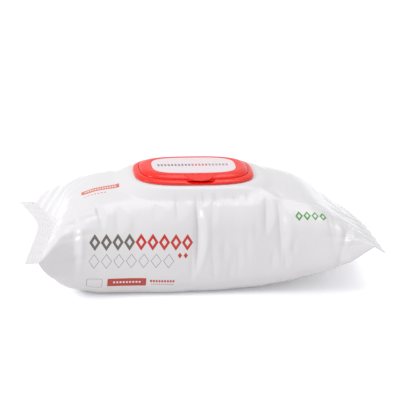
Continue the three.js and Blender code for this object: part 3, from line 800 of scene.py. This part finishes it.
def print_shape(tree, place, shape):
    """1 where a row of shapes is printed and 0 elsewhere."""
    x, up, count, pitch, half_length, half_height, corner, stroke, _ = shape
    local = add_node(
        tree, "ShaderNodeVectorMath", {1: (x, up, 0)}, {0: place}, operation="SUBTRACT",
    )
    cell = add_node(
        tree, "ShaderNodeVectorMath",
        {1: (pitch / 2, FOREVER, 2 * FOREVER), 2: (-pitch / 2, -FOREVER, -2 * FOREVER)},
        {0: local.outputs[0]}, operation="WRAP",
    )
    quarter = add_node(tree, "ShaderNodeVectorMath", links={0: cell.outputs[0]}, operation="ABSOLUTE")
    if corner is None:
        size, line = 1.0, stroke and stroke / half_length
        distance = add_node(
            tree, "ShaderNodeVectorMath", {1: (1 / half_length, 1 / half_height, 1)},
            {0: quarter.outputs[0]}, operation="DOT_PRODUCT",
        )
    else:
        size, line = corner, stroke
        past_corner = add_node(
            tree, "ShaderNodeVectorMath", {1: (half_length - corner, half_height - corner, 0)},
            {0: quarter.outputs[0]}, operation="SUBTRACT",
        )
        outside = add_node(
            tree, "ShaderNodeVectorMath", {1: (0, 0, 0)}, {0: past_corner.outputs[0]},
            operation="MAXIMUM",
        )
        distance = add_node(
            tree, "ShaderNodeVectorMath", links={0: outside.outputs[0]}, operation="LENGTH",
        )
    middle, half = (size - line / 2, line / 2) if line else (0.0, size)
    inked = add_node(
        tree, "ShaderNodeMath", {1: middle, 2: half}, {0: distance.outputs["Value"]},
        operation="COMPARE",
    )
    whereabouts = add_node(tree, "ShaderNodeSeparateXYZ", links={0: local.outputs[0]})
    row = add_node(
        tree, "ShaderNodeMath", {1: pitch * (count - 1) / 2, 2: pitch * count / 2},
        {0: whereabouts.outputs["X"]}, operation="COMPARE",
    )
    return add_node(
        tree, "ShaderNodeMath", links={0: inked.outputs[0], 1: row.outputs[0]}, operation="MULTIPLY",
    ).outputs[0]


def printed_on(tree, place, ground, shapes):
    """The ground's colour with a list of shapes printed on it."""
    result = None
    for shape in shapes:
        inked = print_shape(tree, place, shape)
        mixer = add_node(tree, "ShaderNodeMix", links={"Factor": inked}, data_type="RGBA")
        under, over = [socket for socket in mixer.inputs if socket.type == "RGBA"]
        under.default_value, over.default_value = colour(ground), colour(shape[-1])
        if result:
            tree.links.new(result, under)
        result = next(socket for socket in mixer.outputs if socket.type == "RGBA")
    return result


def satin_laminate_film():
    """White polyester and polyethylene laminate, printed in flexography: satin, with broad soft
    highlights, and fine upright wrinkles about 2 mm apart from the wrapping machine."""
    material, tree = new_material("satin_laminate_film")
    place = add_node(tree, "ShaderNodeAttribute", attribute_name="film_place").outputs["Vector"]
    whereabouts = add_node(tree, "ShaderNodeSeparateXYZ", links={0: place})
    risen = add_node(
        tree, "ShaderNodeVectorMath", {1: (0, -PRINT_RISE, 0)}, {0: whereabouts.outputs["X"]},
        operation="MULTIPLY",
    )
    level = add_node(
        tree, "ShaderNodeVectorMath", links={0: place, 1: risen.outputs[0]}, operation="ADD",
    )
    stretched = add_node(
        tree, "ShaderNodeVectorMath", {1: (1 / WRINKLE_PITCH, 1 / WRINKLE_HEIGHT, 0)}, {0: place},
        operation="MULTIPLY",
    )
    wrinkles = add_node(
        tree, "ShaderNodeTexNoise", {"Scale": 1.0, "Detail": 3.0, "Roughness": 0.55},
        {"Vector": stretched.outputs[0]},
    )
    bump = add_node(
        tree, "ShaderNodeBump", {"Strength": 0.22, "Distance": 0.4 * MM},
        {"Height": wrinkles.outputs["Fac"]},
    )
    shader = add_node(
        tree, "ShaderNodeBsdfPrincipled", {"Roughness": 0.2, "IOR": 1.5},
        {
            "Base Color": printed_on(tree, level.outputs[0], FILM_WHITE, PRINT),
            "Normal": bump.outputs["Normal"],
        },
    )
    finish_material(tree, shader)
    return material


def bumpy_material(name, hex_code, roughness, ior, spacing, detail, strength, height):
    """A plain material in one colour with noise bumps, their spacing and height in millimetres."""
    material, tree = new_material(name)
    spot = add_node(tree, "ShaderNodeTexCoord")
    bumps = add_node(
        tree, "ShaderNodeTexNoise", {"Scale": 1 / (spacing * MM), "Detail": detail},
        {"Vector": spot.outputs["Object"]},
    )
    bump = add_node(
        tree, "ShaderNodeBump", {"Strength": strength, "Distance": height * MM},
        {"Height": bumps.outputs["Fac"]},
    )
    shader = add_node(
        tree, "ShaderNodeBsdfPrincipled",
        {"Base Color": colour(hex_code), "Roughness": roughness, "IOR": ior},
        {"Normal": bump.outputs["Normal"]},
    )
    finish_material(tree, shader)
    return material


def moulded_polypropylene():
    """Glossy injection-moulded polypropylene, opaque red, with highlights that waver a little where
    the shrinking plastic left shallow hollows about 11 mm apart."""
    return bumpy_material(
        "moulded_polypropylene", "#FA1E08", roughness=0.2, ior=1.49,
        spacing=11.1, detail=2.0, strength=0.1, height=0.2,
    )


# The label's inks and one row of marks across its middle, written as the film's print is
LABEL_WHITE, LABEL_GREY, LABEL_RED, LABEL_PALE = "#F1E6EB", "#8E8A8E", "#D07A78", "#A9A4A8"
LABEL_MARKS = [
    (-27.6, 0.6, 10, 2.7, 0.85, 2.1, 0.5, None, LABEL_GREY),
    (-0.6, 0.6, 5, 2.7, 0.85, 2.1, 0.5, None, LABEL_RED),
    (12.9, 0.6, 6, 2.7, 0.85, 2.1, 0.5, None, LABEL_PALE),
]
# The paper's fibres, drawn coarser than they are so that they show
PAPER_TOOTH = 0.83


def printed_label_paper():
    """Semi-gloss label paper, printed: a soft sheen broken by the faint tooth of its fibres."""
    material, tree = new_material("printed_label_paper")
    spot = add_node(tree, "ShaderNodeTexCoord").outputs["Object"]
    placed = add_node(
        tree, "ShaderNodeVectorMath", {1: (LID_PLACE.x, LID_PLACE.y, 0)}, {0: spot},
        operation="SUBTRACT",
    )
    scaled = add_node(
        tree, "ShaderNodeVectorMath", {1: (1 / MM, 1 / MM, 0)}, {0: placed.outputs[0]},
        operation="MULTIPLY",
    )
    tooth = add_node(
        tree, "ShaderNodeTexNoise", {"Scale": 1 / (PAPER_TOOTH * MM), "Detail": 2.0}, {"Vector": spot},
    )
    bump = add_node(
        tree, "ShaderNodeBump", {"Strength": 0.15, "Distance": 0.1 * MM},
        {"Height": tooth.outputs["Fac"]},
    )
    shader = add_node(
        tree, "ShaderNodeBsdfPrincipled", {"Roughness": 0.42, "IOR": 1.5},
        {
            "Base Color": printed_on(tree, scaled.outputs[0], LABEL_WHITE, LABEL_MARKS),
            "Normal": bump.outputs["Normal"],
        },
    )
    finish_material(tree, shader)
    return material


def polyester_peel_film():
    """Thin silvery-white polyester sticker, glossier than the pack's own film, rippled every few
    millimetres by the film that it sticks to."""
    return bumpy_material(
        "polyester_peel_film", "#DFE3E8", roughness=0.18, ior=1.57,
        spacing=4.5, detail=2.0, strength=0.2, height=0.2,
    )


def hot_melt_glue():
    """Hot-melt adhesive laid as a flat ring: milky, waxy and uneven, with lumps of 2 or 3 mm."""
    return bumpy_material(
        "hot_melt_glue", "#E6DFC9", roughness=0.45, ior=1.48,
        spacing=2.5, detail=3.0, strength=0.4, height=0.3,
    )


def direct_rays(tree):
    """1 for camera, glossy and transmission rays, which see the white studio, and 0 for others."""
    path = add_node(tree, "ShaderNodeLightPath").outputs
    direct = add_node(
        tree, "ShaderNodeMath", links={0: path["Is Camera Ray"], 1: path["Is Glossy Ray"]},
        operation="MAXIMUM",
    )
    return add_node(
        tree, "ShaderNodeMath", links={0: direct.outputs[0], 1: path["Is Transmission Ray"]},
        operation="MAXIMUM",
    ).outputs[0]


def white_sweep():
    """A matt white sweep. Camera, glossy and transmission rays see it a little lighter."""
    material, tree = new_material("white_sweep")
    diffuse = add_node(tree, "ShaderNodeBsdfDiffuse", {"Color": colour("#F2F2F2")})
    seen = add_node(tree, "ShaderNodeBsdfDiffuse", {"Color": (1.3, 1.3, 1.34, 1)})
    glow = add_node(tree, "ShaderNodeEmission", {"Color": (1, 1, 1, 1), "Strength": 0.14})
    both = add_node(tree, "ShaderNodeAddShader", links={0: seen.outputs[0], 1: glow.outputs[0]})
    either = add_node(
        tree, "ShaderNodeMixShader",
        links={"Fac": direct_rays(tree), 1: diffuse.outputs[0], 2: both.outputs[0]},
    )
    finish_material(tree, either)
    return material


# Two soft lamps: name, place and side in metres, watts
SOFTBOXES = [
    ("key_softbox", (-1.6, -0.7, 1.1), 0.6, 13.0),
    ("top_softbox", (0.3, 0.2, 1.9), 1.2, 9.0),
]
STUDIO_FILL, STUDIO_WHITE = 0.59, 1.0


def light_scene():
    world = bpy.data.worlds.new("studio")
    world.use_nodes = True
    tree = world.node_tree
    tree.nodes.clear()
    fill = add_node(tree, "ShaderNodeBackground", {"Color": (1, 1, 1, 1), "Strength": STUDIO_FILL})
    white = add_node(tree, "ShaderNodeBackground", {"Color": (1, 1, 1, 1), "Strength": STUDIO_WHITE})
    seen = add_node(
        tree, "ShaderNodeMixShader",
        links={"Fac": direct_rays(tree), 1: fill.outputs[0], 2: white.outputs[0]},
    )
    add_node(tree, "ShaderNodeOutputWorld", links={"Surface": seen.outputs[0]})
    bpy.context.scene.world = world
    pack_middle = Vector((0, 0, 0.04))
    for name, spot, size, power in SOFTBOXES:
        data = bpy.data.lights.new(name, "AREA")
        data.shape = "SQUARE"
        data.size = size
        data.energy = power
        lamp = bpy.data.objects.new(name, data)
        lamp.location = spot
        lamp.rotation_euler = (pack_middle - lamp.location).to_track_quat("-Z", "Y").to_euler()
        bpy.context.scene.collection.objects.link(lamp)


def make_floor():
    half = 6.0  # metres
    corners = [(-half, -half, 0), (half, -half, 0), (half, half, 0), (-half, half, 0)]
    mesh = bpy.data.meshes.new("sweep")
    mesh.from_pydata(corners, [], [(0, 1, 2, 3)])
    floor = bpy.data.objects.new("sweep", mesh)
    bpy.context.scene.collection.objects.link(floor)
    floor.data.materials.append(white_sweep())


def dress(piece, material):
    """Gives a piece, or a carried-over part of the model, its finish."""
    if piece.material_slots:
        for place in piece.material_slots:
            place.material = material
    else:
        piece.data.materials.append(material)


lid_plastic = moulded_polypropylene()
dress(make_film_pouch(), satin_laminate_film())
dress(make_lid_base(), lid_plastic)
dress(make_lid_flap(), lid_plastic)
dress(make_thumb_lip(), lid_plastic)
dress(make_living_hinge(), lid_plastic)
dress(make_label(), printed_label_paper())
dress(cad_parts["peel_seal"], polyester_peel_film())
dress(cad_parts["lid_glue"], hot_melt_glue())
make_floor()
light_scene()
bpy.context.scene.view_settings.view_transform = "Standard"

bpy.context.view_layer.update()
